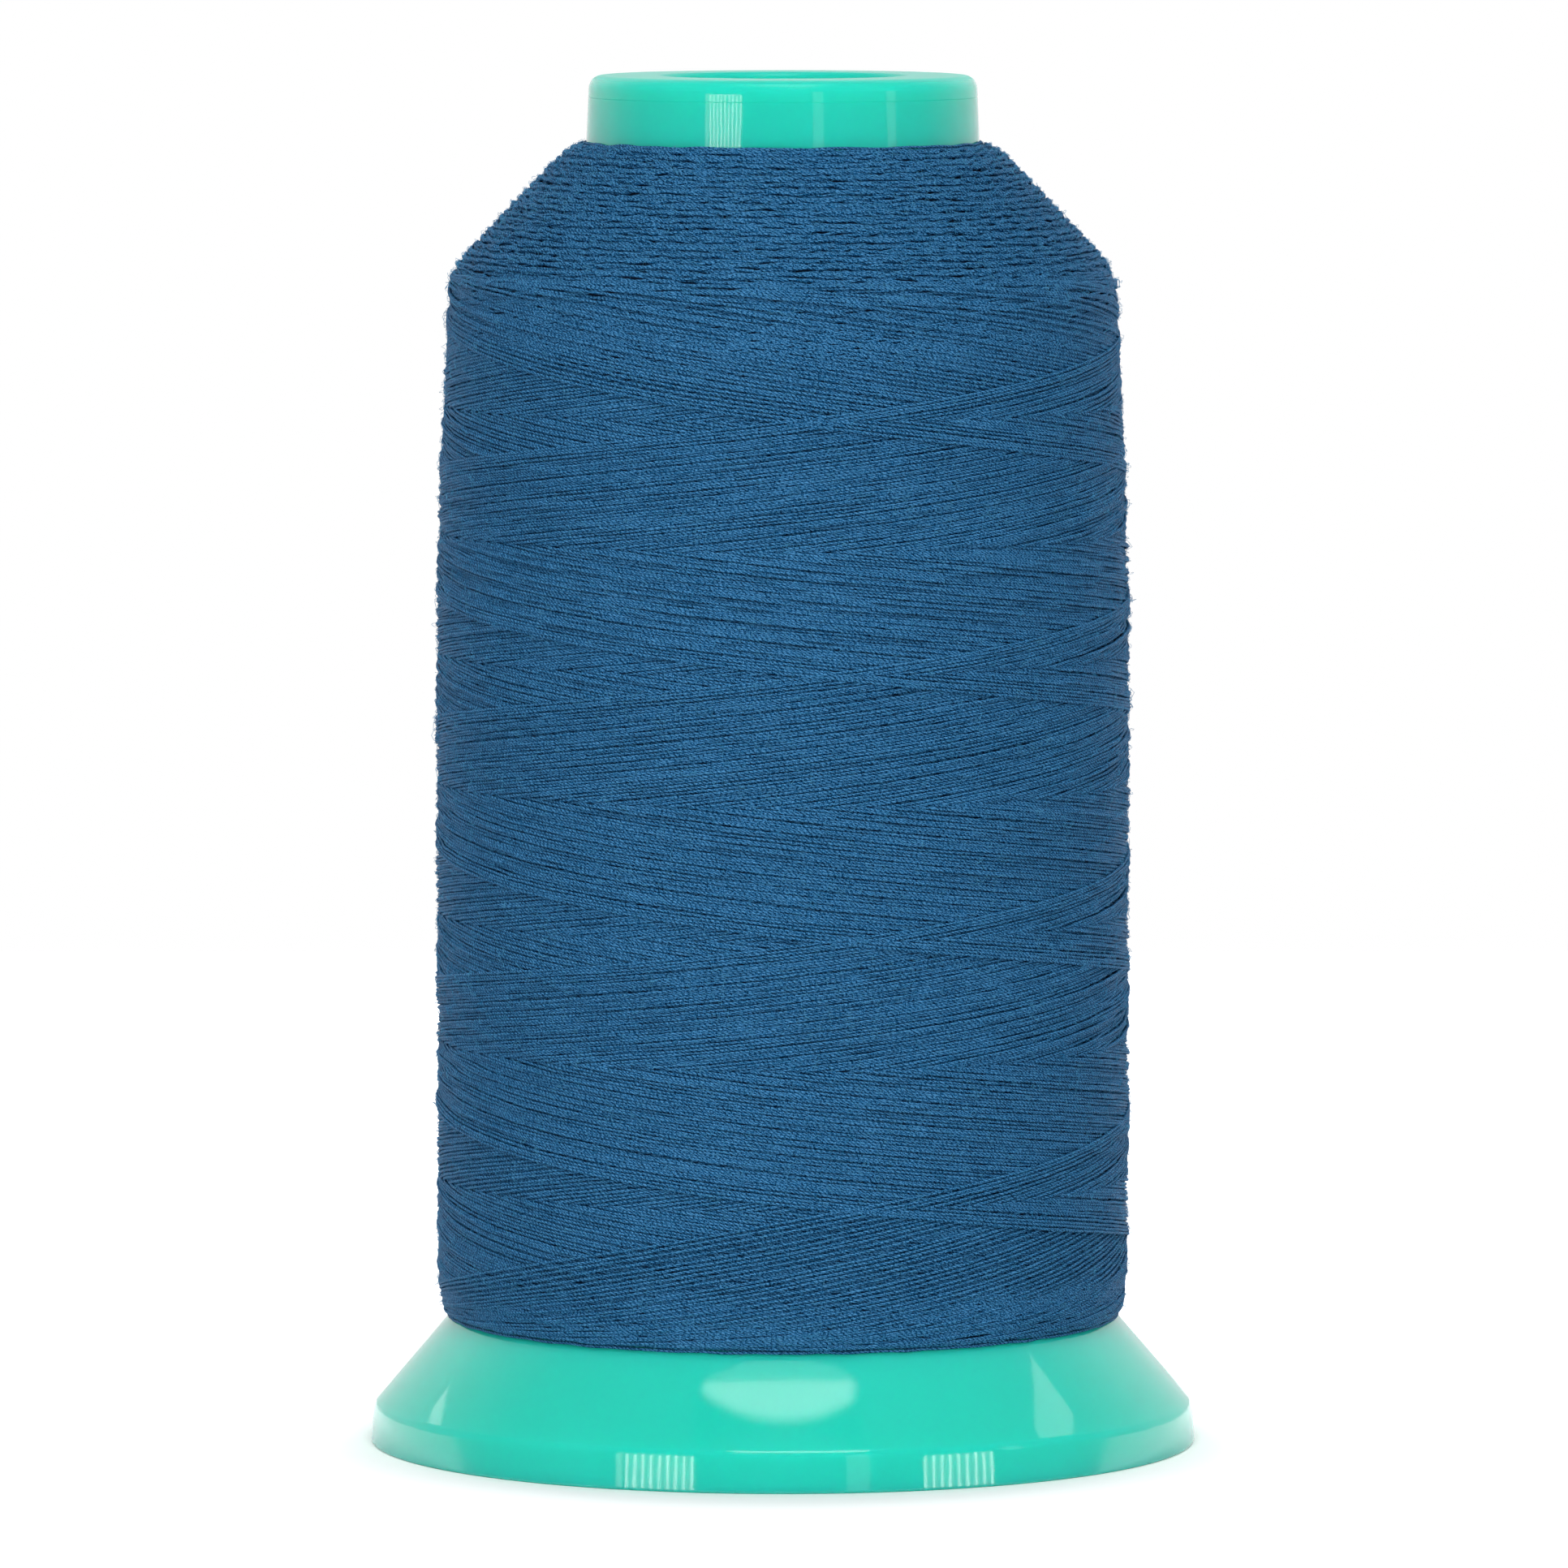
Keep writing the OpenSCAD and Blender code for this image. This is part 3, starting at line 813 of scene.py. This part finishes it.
    def shown(self):
        """Stretches of yarn that lie open, each as (column, run, height)."""
        level = self.level()
        stretches = []
        for column, run, centre in self.laid:
            near, bulge = self.cover(run)
            wrapped = (column % COLUMNS)[:, None]
            top = centre[:, None] + bulge
            open_part = (bulge > OPEN_BULGE) & (top >= self.map[near, wrapped] - OPEN_SLACK)
            seen = open_part.sum(axis=1) >= OPEN_ROWS
            seen = np.convolve(seen, np.ones(OPEN_SPREAD), mode="same") > 0
            edges = np.flatnonzero(np.diff(np.concatenate(([0], seen.astype(int), [0]))))
            row = (run - PACKAGE_BOTTOM) / ROW + ROWS_BELOW
            height = centre - np.interp(row, np.arange(self.rows), level)
            deepest = np.interp(run, SINK_PLACES, SINK)
            highest = np.interp(run, STAND_PLACES, STAND)
            height = np.clip(height, deepest, highest)
            for start, stop in zip(edges[::2], edges[1::2]):
                if stop - start > OPEN_LEAST:
                    stretches.append((column[start:stop], run[start:stop], height[start:stop]))
        return stretches


# ---------------------------------------------------------------- meshes
# Quads that close the end of a tube, by its count of sides
CAPS = {4: ((0, 1, 2, 3),), 6: ((0, 1, 2, 3), (0, 3, 4, 5))}


def mesh_from(name, points, quads, material, maps):
    """Object of one material from points, quads and UV maps given per corner."""
    mesh = bpy.data.meshes.new(name)
    mesh.vertices.add(len(points))
    mesh.vertices.foreach_set("co", points.astype(np.float32).ravel())
    mesh.loops.add(quads.size)
    mesh.loops.foreach_set("vertex_index", quads.astype(np.int32).ravel())
    mesh.polygons.add(len(quads))
    mesh.polygons.foreach_set("loop_start", np.arange(0, quads.size, 4, dtype=np.int32))
    mesh.update(calc_edges=True)
    mesh.polygons.foreach_set("use_smooth", np.ones(len(quads), dtype=bool))
    for map_name, values in maps.items():
        layer = mesh.uv_layers.new(name=map_name)
        layer.data.foreach_set("uv", values.astype(np.float32).ravel())
    mesh.validate()
    made = bpy.data.objects.new(name, mesh)
    bpy.context.scene.collection.objects.link(made)
    mesh.materials.append(material)
    return made


def tube_rings(path, normal, radius, sides):
    """Rings of points round a path, their radius given at each of its points."""
    tangent = np.gradient(path, axis=0)
    tangent /= np.linalg.norm(tangent, axis=1, keepdims=True)
    side = np.cross(tangent, normal)
    side /= np.linalg.norm(side, axis=1, keepdims=True)
    out = np.cross(side, tangent)
    turn = np.arange(sides) * 2 * math.pi / sides
    ring = np.cos(turn)[None, :, None] * out[:, None, :] + np.sin(turn)[None, :, None] * side[:, None, :]
    return path[:, None, :] + ring * radius[:, None, None]


def tubes(name, paths, sides, strip, sheet, material):
    """One piece from many closed tubes. Each path is (points, normals, radii)."""
    points = []
    quads = []
    yarn_map = []
    bake_map = []
    base = 0
    travelled = 0.0
    rows = 1 + int(sum(np.linalg.norm(np.diff(p[0], axis=0), axis=1).sum() for p in paths) / sheet)
    corner = np.array(((0, 0), (0, 1), (1, 1), (1, 0)))
    for path, normal, radius in paths:
        count = len(path)
        points.append(tube_rings(path, normal, radius, sides).reshape(-1, 3))
        step = np.linalg.norm(np.diff(path, axis=0), axis=1)
        place = np.concatenate(([0.0], np.cumsum(step)))
        ring = np.repeat(np.arange(count - 1), sides)
        spoke = np.tile(np.arange(sides), count - 1)
        along = ring[:, None] + corner[None, :, 0]
        around = spoke[:, None] + corner[None, :, 1]
        quads.append(base + along * sides + around % sides)
        shift = rng.uniform(0, PATTERN_SHIFT)
        yarn_map.append(np.stack((place[along] + shift, around / sides), axis=-1))
        start = travelled + place[ring]
        row = np.floor(start / sheet)
        across = (start - row * sheet)[:, None] + corner[None, :, 0] * step[ring][:, None]
        up = row[:, None] + BAKE_MARGIN + (1 - 2 * BAKE_MARGIN) * around / sides
        bake_map.append(np.stack((across / (sheet + BAKE_SPARE * strip), up / (rows + 1)), axis=-1))
        travelled += place[-1]
        for end in (0, count - 1):
            order = np.arange(sides) if end else np.arange(sides)[::-1]
            cap = base + end * sides + order[np.array(CAPS[sides])]
            quads.append(cap)
            yarn_map.append(np.zeros((len(cap), 4, 2)))
            bake_map.append(np.zeros((len(cap), 4, 2)))
        base += count * sides
    maps = {"Yarn": np.concatenate(yarn_map), "OFBake": np.concatenate(bake_map)}
    return mesh_from(name, np.concatenate(points) * MM, np.concatenate(quads), material, maps)


def yarn_path(surface, column, run, height):
    """Points and normals of a stretch of yarn in millimetres."""
    keep = np.unique(np.append(np.arange(0, len(column), YARN_STEP), len(column) - 1))
    angle = np.radians(column[keep] * 360 / COLUMNS)
    radius, level, normal_r, normal_z = surface.at(run[keep])
    lift = height[keep] - PRESSED_RADIUS
    ring = radius + lift * normal_r
    points = np.stack((ring * np.sin(angle), -ring * np.cos(angle), level + lift * normal_z), axis=1)
    normals = np.stack((normal_r * np.sin(angle), -normal_r * np.cos(angle), normal_z), axis=1)
    radii = YARN_RADIUS * (1 + ripple(len(column), COLUMN_SPACING, *THICKNESS_WAVES)[keep])
    radii[[0, -1]] *= END_TAPER
    return points, normals, radii


def pieces_from(name, paths, sides, strip, sheet, material):
    """Pieces of many tubes, split so that each holds at most PIECE_LIMIT faces."""
    batches = [[]]
    filled = 0
    for path in paths:
        faces = (len(path[0]) - 1) * sides + 2 * len(CAPS[sides])
        if filled + faces > PIECE_LIMIT:
            batches.append([])
            filled = 0
        batches[-1].append(path)
        filled += faces
    made = []
    for number, batch in enumerate(batches, 1):
        made.append(tubes(f"{name}_{number}", batch, sides, strip, sheet, material))
    return made


def hoop(radius, height):
    """One wavy turn round the axis, as points, normals and radii."""
    count = COLUMNS // YARN_STEP + 1
    turn = np.linspace(0, 2 * math.pi, count)
    spacing = 2 * math.pi * radius / (count - 1)
    ring = radius + ripple(count, spacing, *HOOP_RADIUS_WAVES)
    level = height + ripple(count, spacing, *HOOP_HEIGHT_WAVES)
    points = np.stack((ring * np.sin(turn), -ring * np.cos(turn), level), axis=1)
    normals = np.stack((np.sin(turn), -np.cos(turn), np.zeros(count)), axis=1)
    return points, normals, np.full(count, YARN_RADIUS)


def winding(surface, stretches, material):
    """Pieces of the outer winding, as bands from the bottom to the top."""
    ordered = sorted(stretches, key=lambda stretch: stretch[1].mean())
    paths = [yarn_path(surface, *stretch) for stretch in ordered]
    paths.extend(hoop(radius, height) for radius, height in HOOPS)
    return pieces_from("winding", paths, YARN_SIDES, YARN_STRIP, YARN_SHEET, material)


def fuzz(surface, winder, material):
    """Stray fibres that leave the yarns, curl over them and lie down again."""
    count = FIBRES
    steps = FIBRE_STEPS
    run = rng.uniform(PACKAGE_BOTTOM + FIBRE_ENDS[0], surface.end - FIBRE_ENDS[1], count)
    angle = rng.uniform(0, 2 * math.pi, count)
    radius, level, normal_r, normal_z = surface.at(run)
    normal = np.stack((normal_r * np.sin(angle), -normal_r * np.cos(angle), normal_z), axis=1)
    start = np.stack((radius * np.sin(angle), -radius * np.cos(angle), level), axis=1)
    side = np.stack((np.cos(angle), np.sin(angle), np.zeros(count)), axis=1)
    up = np.cross(normal, side)
    reach = rng.gamma(*FIBRE_REACH, count) + FIBRE_LEAST
    heading = rng.normal(0, FIBRE_HEADING, count) + math.pi * rng.integers(0, 2, count)
    curl = rng.normal(0, FIBRE_CURL, count)
    wild = rng.normal(0, FIBRE_WILD, (count, steps)).cumsum(axis=1)
    place = np.zeros((count, steps, 2))
    for step in range(1, steps):
        way = heading + curl * step + wild[:, step]
        place[:, step, 0] = place[:, step - 1, 0] + reach * np.cos(way)
        place[:, step, 1] = place[:, step - 1, 1] + reach * np.sin(way)
    stand = rng.gamma(*FIBRE_STAND, count) + FIBRE_NUDGE
    arch = np.sin(np.linspace(*ARCH_ENDS, steps) * math.pi)[None, :] ** ARCH_POWER
    nudge = FIBRE_NUDGE * rng.normal(0, 1, (count, steps))
    lift = stand[:, None] * arch + nudge + FIBRE_CLEAR
    turned = angle[:, None] + place[:, :, 0] / radius[:, None]
    lift = lift + winder.crest(run[:, None] + place[:, :, 1], turned)
    along = place[:, :, 0, None] * side[:, None, :] + place[:, :, 1, None] * up[:, None, :]
    bend = (place ** 2).sum(axis=2) / (2 * BODY_RADIUS)
    points = start[:, None, :] + along + (lift - bend)[:, :, None] * normal[:, None, :]
    paths = []
    for index in range(count):
        radii = np.full(steps, FIBRE_RADIUS)
        radii[[0, -1]] *= FIBRE_TIP
        upright = np.repeat(normal[index][None, :], steps, axis=0)
        paths.append((points[index], upright, radii))
    return pieces_from("stray_fibres", paths, FIBRE_SIDES, FIBRE_STRIP, FIBRE_SHEET, material)


def lathe(name, outline, steps, material):
    """Closed turned piece from an outline of (radius, height) in millimetres."""
    outline = np.array(outline)
    turn = np.arange(steps) * 2 * math.pi / steps
    ring = outline[:, 0][:, None]
    points = np.stack(
        (ring * np.sin(turn), -ring * np.cos(turn), np.repeat(outline[:, 1][:, None], steps, axis=1)),
        axis=-1,
    ).reshape(-1, 3)
    count = len(outline)
    level = np.repeat(np.arange(count), steps)
    spoke = np.tile(np.arange(steps), count)
    after = (level + 1) % count
    beside = (spoke + 1) % steps
    near = level * steps
    far = after * steps
    quads = np.stack((near + spoke, near + beside, far + beside, far + spoke), axis=1)
    return mesh_from(name, points * MM, quads, material, {})


def package_core(surface, material):
    """Shell just under the yarns, drawn as the buried turns that show between them."""
    run = np.linspace(surface.run[0] + CORE_ENDS[0], surface.run[-1] - CORE_ENDS[1], CORE_ROWS)
    radius, level, normal_r, normal_z = surface.at(run)
    outer = np.stack((radius - CORE_DEPTH * normal_r, level - CORE_DEPTH * normal_z), axis=1)
    outer[:, 0] = np.maximum(outer[:, 0], NECK_CLEAR)
    inner = (
        (NECK_CLEAR - CORE_WALL, outer[-1][1]),
        (NECK_CLEAR - CORE_WALL, CORE_FOOT),
        (outer[0][0] - CORE_WALL, outer[0][1] - CORE_WALL),
    )
    return lathe("package_core", np.vstack((outer, inner)), CORE_SIDES, material)


# ---------------------------------------------------------------- studio
def lamp(name, place, aim, size, power, seen=True):
    """Rectangular studio lamp at a place in metres, facing its aim."""
    data = bpy.data.lights.new(name, "AREA")
    data.shape = "RECTANGLE"
    data.size, data.size_y = size
    data.energy = power
    made = bpy.data.objects.new(name, data)
    made.location = place
    facing = Vector(aim) - Vector(place)
    made.rotation_euler = facing.to_track_quat("-Z", "Y").to_euler()
    made.visible_camera = False
    made.visible_glossy = seen
    bpy.context.scene.collection.objects.link(made)
    return made


def upright(name, bearing, width, bottom, top, glow):
    """Upright strip light at a bearing from the front in degrees."""
    turn = math.radians(bearing)
    middle = (bottom + top) / 2
    place = (SLAT_DISTANCE * math.sin(turn), -SLAT_DISTANCE * math.cos(turn), middle)
    lamp(name, place, (0, 0, middle), (width, top - bottom), glow * math.pi * width * (top - bottom))


def striped_light(name, first, last, height):
    """Window of narrow bright slats before a paler pane, between two bearings."""
    for bearing in np.linspace(first, last, SLATS):
        upright(name, bearing, SLAT_WIDTH, 0, height, SLAT_GLOW)
    width = SLAT_DISTANCE * math.radians(abs(last - first)) + SLAT_WIDTH
    upright(name + "_pane", (first + last) / 2, width, 0, height, PANE_GLOW)


def panel_material():
    """Glow of the overhead panel: crisp back edge, soft curved front edge, faint stripes."""
    material, tree, shader = new_material("overhead_panel")
    split = tree.nodes.new("ShaderNodeSeparateXYZ")
    tree.links.new(tree.nodes.new("ShaderNodeTexCoord").outputs["Object"], split.inputs["Vector"])
    across = split.outputs["X"]
    depth = split.outputs["Y"]
    square = math_node(tree, "MULTIPLY", across, across)
    back = math_node(tree, "MULTIPLY_ADD", square, PANEL_BACK[1], PANEL_BACK[0])
    front = math_node(tree, "MULTIPLY_ADD", square, PANEL_FRONT[1], PANEL_FRONT[0])
    glow = PANEL_GLOW
    for inside, soft, least in (
        (math_node(tree, "SUBTRACT", back, depth), PANEL_CRISP, PANEL_BEYOND),
        (math_node(tree, "SUBTRACT", depth, front), PANEL_SOFT, 0.0),
        (math_node(tree, "SUBTRACT", across, PANEL_LEFT), PANEL_SIDE, 0.0),
        (math_node(tree, "SUBTRACT", PANEL_RIGHT, across), PANEL_SIDE, 0.0),
    ):
        fade = tree.nodes.new("ShaderNodeMapRange")
        fade.interpolation_type = "SMOOTHSTEP"
        fade.inputs["From Max"].default_value = soft
        fade.inputs["To Min"].default_value = least
        tree.links.new(inside, fade.inputs["Value"])
        glow = math_node(tree, "MULTIPLY", fade.outputs["Result"], glow)
    turn = math_node(tree, "MULTIPLY", across, 2 * math.pi / PANEL_STRIPE)
    wave = math_node(tree, "SINE", turn)
    stripes = math_node(tree, "MULTIPLY_ADD", wave, PANEL_CONTRAST, 1 - PANEL_CONTRAST)
    glow = math_node(tree, "MULTIPLY", glow, stripes)
    shader.inputs["Base Color"].default_value = BLACK
    shader.inputs["Specular IOR Level"].default_value = 0.0
    shader.inputs["Emission Color"].default_value = WHITE
    tree.links.new(glow, shader.inputs["Emission Strength"])
    return material


def plate(name, sides, ends, height, material):
    """Level rectangle between its (left, right) sides and (near, far) ends, in metres."""
    places = zip((0, 1, 1, 0), (0, 0, 1, 1))
    corners = np.array([(sides[side], ends[end], height) for side, end in places])
    made = mesh_from(name, corners, np.array(((0, 1, 2, 3),)), material, {})
    return made


def overhead_panel():
    """Overhead striped light that only shows in reflections."""
    sides = (PANEL_LEFT, PANEL_RIGHT)
    ends = (PANEL_NEAR, PANEL_FAR)
    panel = plate("overhead_panel", sides, ends, PANEL_HEIGHT, panel_material())
    panel.visible_camera = False
    panel.visible_diffuse = False
    panel.visible_transmission = False
    panel.visible_shadow = False


def room():
    """Surroundings: white to the camera, shaded in reflections, and a faint even light."""
    world = bpy.data.worlds.new("studio")
    bpy.context.scene.world = world
    world.use_nodes = True
    tree = world.node_tree
    tree.nodes.clear()
    output = tree.nodes.new("ShaderNodeOutputWorld")
    split = tree.nodes.new("ShaderNodeSeparateXYZ")
    tree.links.new(tree.nodes.new("ShaderNodeTexCoord").outputs["Generated"], split.inputs["Vector"])
    lean = math_node(tree, "MULTIPLY_ADD", split.outputs["Z"], ROOM_LEAN, split.outputs["Y"])
    behind = math_node(tree, "MULTIPLY_ADD", lean, 0.5, 0.5)
    greys = ramp_node(tree, behind, [(place, (grey, grey, grey)) for place, grey in ROOM_GREYS])
    path = tree.nodes.new("ShaderNodeLightPath").outputs
    backdrop = tree.nodes.new("ShaderNodeBackground")
    backdrop.inputs["Color"].default_value = WHITE
    mirrored = tree.nodes.new("ShaderNodeBackground")
    tree.links.new(greys, mirrored.inputs["Color"])
    felt = tree.nodes.new("ShaderNodeBackground")
    felt.inputs["Color"].default_value = WHITE
    felt.inputs["Strength"].default_value = AMBIENT
    gloss = tree.nodes.new("ShaderNodeMixShader")
    tree.links.new(path["Is Glossy Ray"], gloss.inputs["Fac"])
    tree.links.new(felt.outputs["Background"], gloss.inputs[1])
    tree.links.new(mirrored.outputs["Background"], gloss.inputs[2])
    mix = tree.nodes.new("ShaderNodeMixShader")
    clear = math_node(tree, "MAXIMUM", path["Is Camera Ray"], path["Is Transmission Ray"])
    tree.links.new(clear, mix.inputs["Fac"])
    tree.links.new(gloss.outputs["Shader"], mix.inputs[1])
    tree.links.new(backdrop.outputs["Background"], mix.inputs[2])
    tree.links.new(mix.outputs["Shader"], output.inputs["Surface"])


def studio():
    """Room, pale floor, soft lamps, overhead panel and two slatted side lights."""
    bpy.context.scene.view_settings.view_transform = "Standard"
    room()
    span = (-FLOOR_HALF, FLOOR_HALF)
    plate("studio_floor", span, span, 0, floor_material())
    lamp("overhead", OVERHEAD_PLACE, OVERHEAD_AIM, OVERHEAD_SIZE, OVERHEAD_POWER, seen=False)
    lamp("front_fill", FRONT_PLACE, FRONT_AIM, FRONT_SIZE, FRONT_POWER, seen=False)
    overhead_panel()
    striped_light("left_slat", *LEFT_SLATS, TALL_SLAT)
    power = EDGE_GLOW * math.pi * EDGE_SIZE[0] * EDGE_SIZE[1]
    lamp("edge_light", EDGE_PLACE, EDGE_AIM, EDGE_SIZE, power)
    upright("left_pane", LEFT_PANE, 3 * SLAT_WIDTH, 0, TALL_SLAT, 2 * PANE_GLOW)
    striped_light("right_slat", *RIGHT_SLATS, SHORT_SLAT)
    for bearing, foot in SOFT_BANDS:
        upright("soft_band", bearing, BAND_WIDTH, foot, BAND_TOP, BAND_GLOW)
    for x, y, size in SPOTS:
        power = SPOT_GLOW * math.pi * size[0] * size[1]
        lamp("far_spot", (x, y, PANEL_HEIGHT), (x, y, 0), size, power)
    for side in (-1, 1):
        place = (side * RIM_PLACE[0], *RIM_PLACE[1:])
        lamp("rim_light", place, RIM_AIM, RIM_SIZE, RIM_POWER, seen=False)
    for side, power in zip((-1, 1), SHEET_POWER):
        place = (side * SHEET_PLACE[0], *SHEET_PLACE[1:])
        lamp("side_sheet", place, SHEET_AIM, SHEET_SIZE, power, seen=False)


def place_camera():
    """Camera of the photograph."""
    data = bpy.data.cameras.new("camera")
    data.lens = CAMERA_LENS
    data.sensor_width = CAMERA_SENSOR
    data.clip_end = 10
    made = bpy.data.objects.new("camera", data)
    made.location = CAMERA_PLACE
    made.rotation_euler = (math.radians(90 + CAMERA_PITCH), 0, 0)
    bpy.context.scene.collection.objects.link(made)
    bpy.context.scene.camera = made


# ---------------------------------------------------------------- scene
for old in list(bpy.data.objects):
    bpy.data.objects.remove(old)
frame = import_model()

surface = Surface()
winder = Winder(surface)
winder.bed()
winder.shoulder()
winder.lower_edge()
winder.strokes()
stretches = winder.shown()

yarn = yarn_material("spun_thread", NAVY, BLUE, PALE_BLUE)
buried = core_material("buried_thread_shaded", SHADED_BURIED_DARK, SHADED_BURIED_LIGHT)
fluff = fuzz_material("stray_fibres", FLUFF_DULL, FLUFF_PALE)
tube_plastic = plastic_material("moulded_teal", TEAL, TUBE_DEEP)
base_plastic = plastic_material("moulded_teal_base", TEAL, BASE_DEEP)

core = package_core(surface, buried)
pieces = winding(surface, stretches, yarn)
pieces.extend(fuzz(surface, winder, fluff))

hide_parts("thread_package")
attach(core, "spool")
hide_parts("outer_winding")
for piece in pieces:
    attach(piece, "spool")

for node, material in (("spool_tube", tube_plastic), ("snap_base", base_plastic)):
    mesh = frame["nodes"][node].data
    mesh.materials.clear()
    mesh.materials.append(material)

studio()
place_camera()
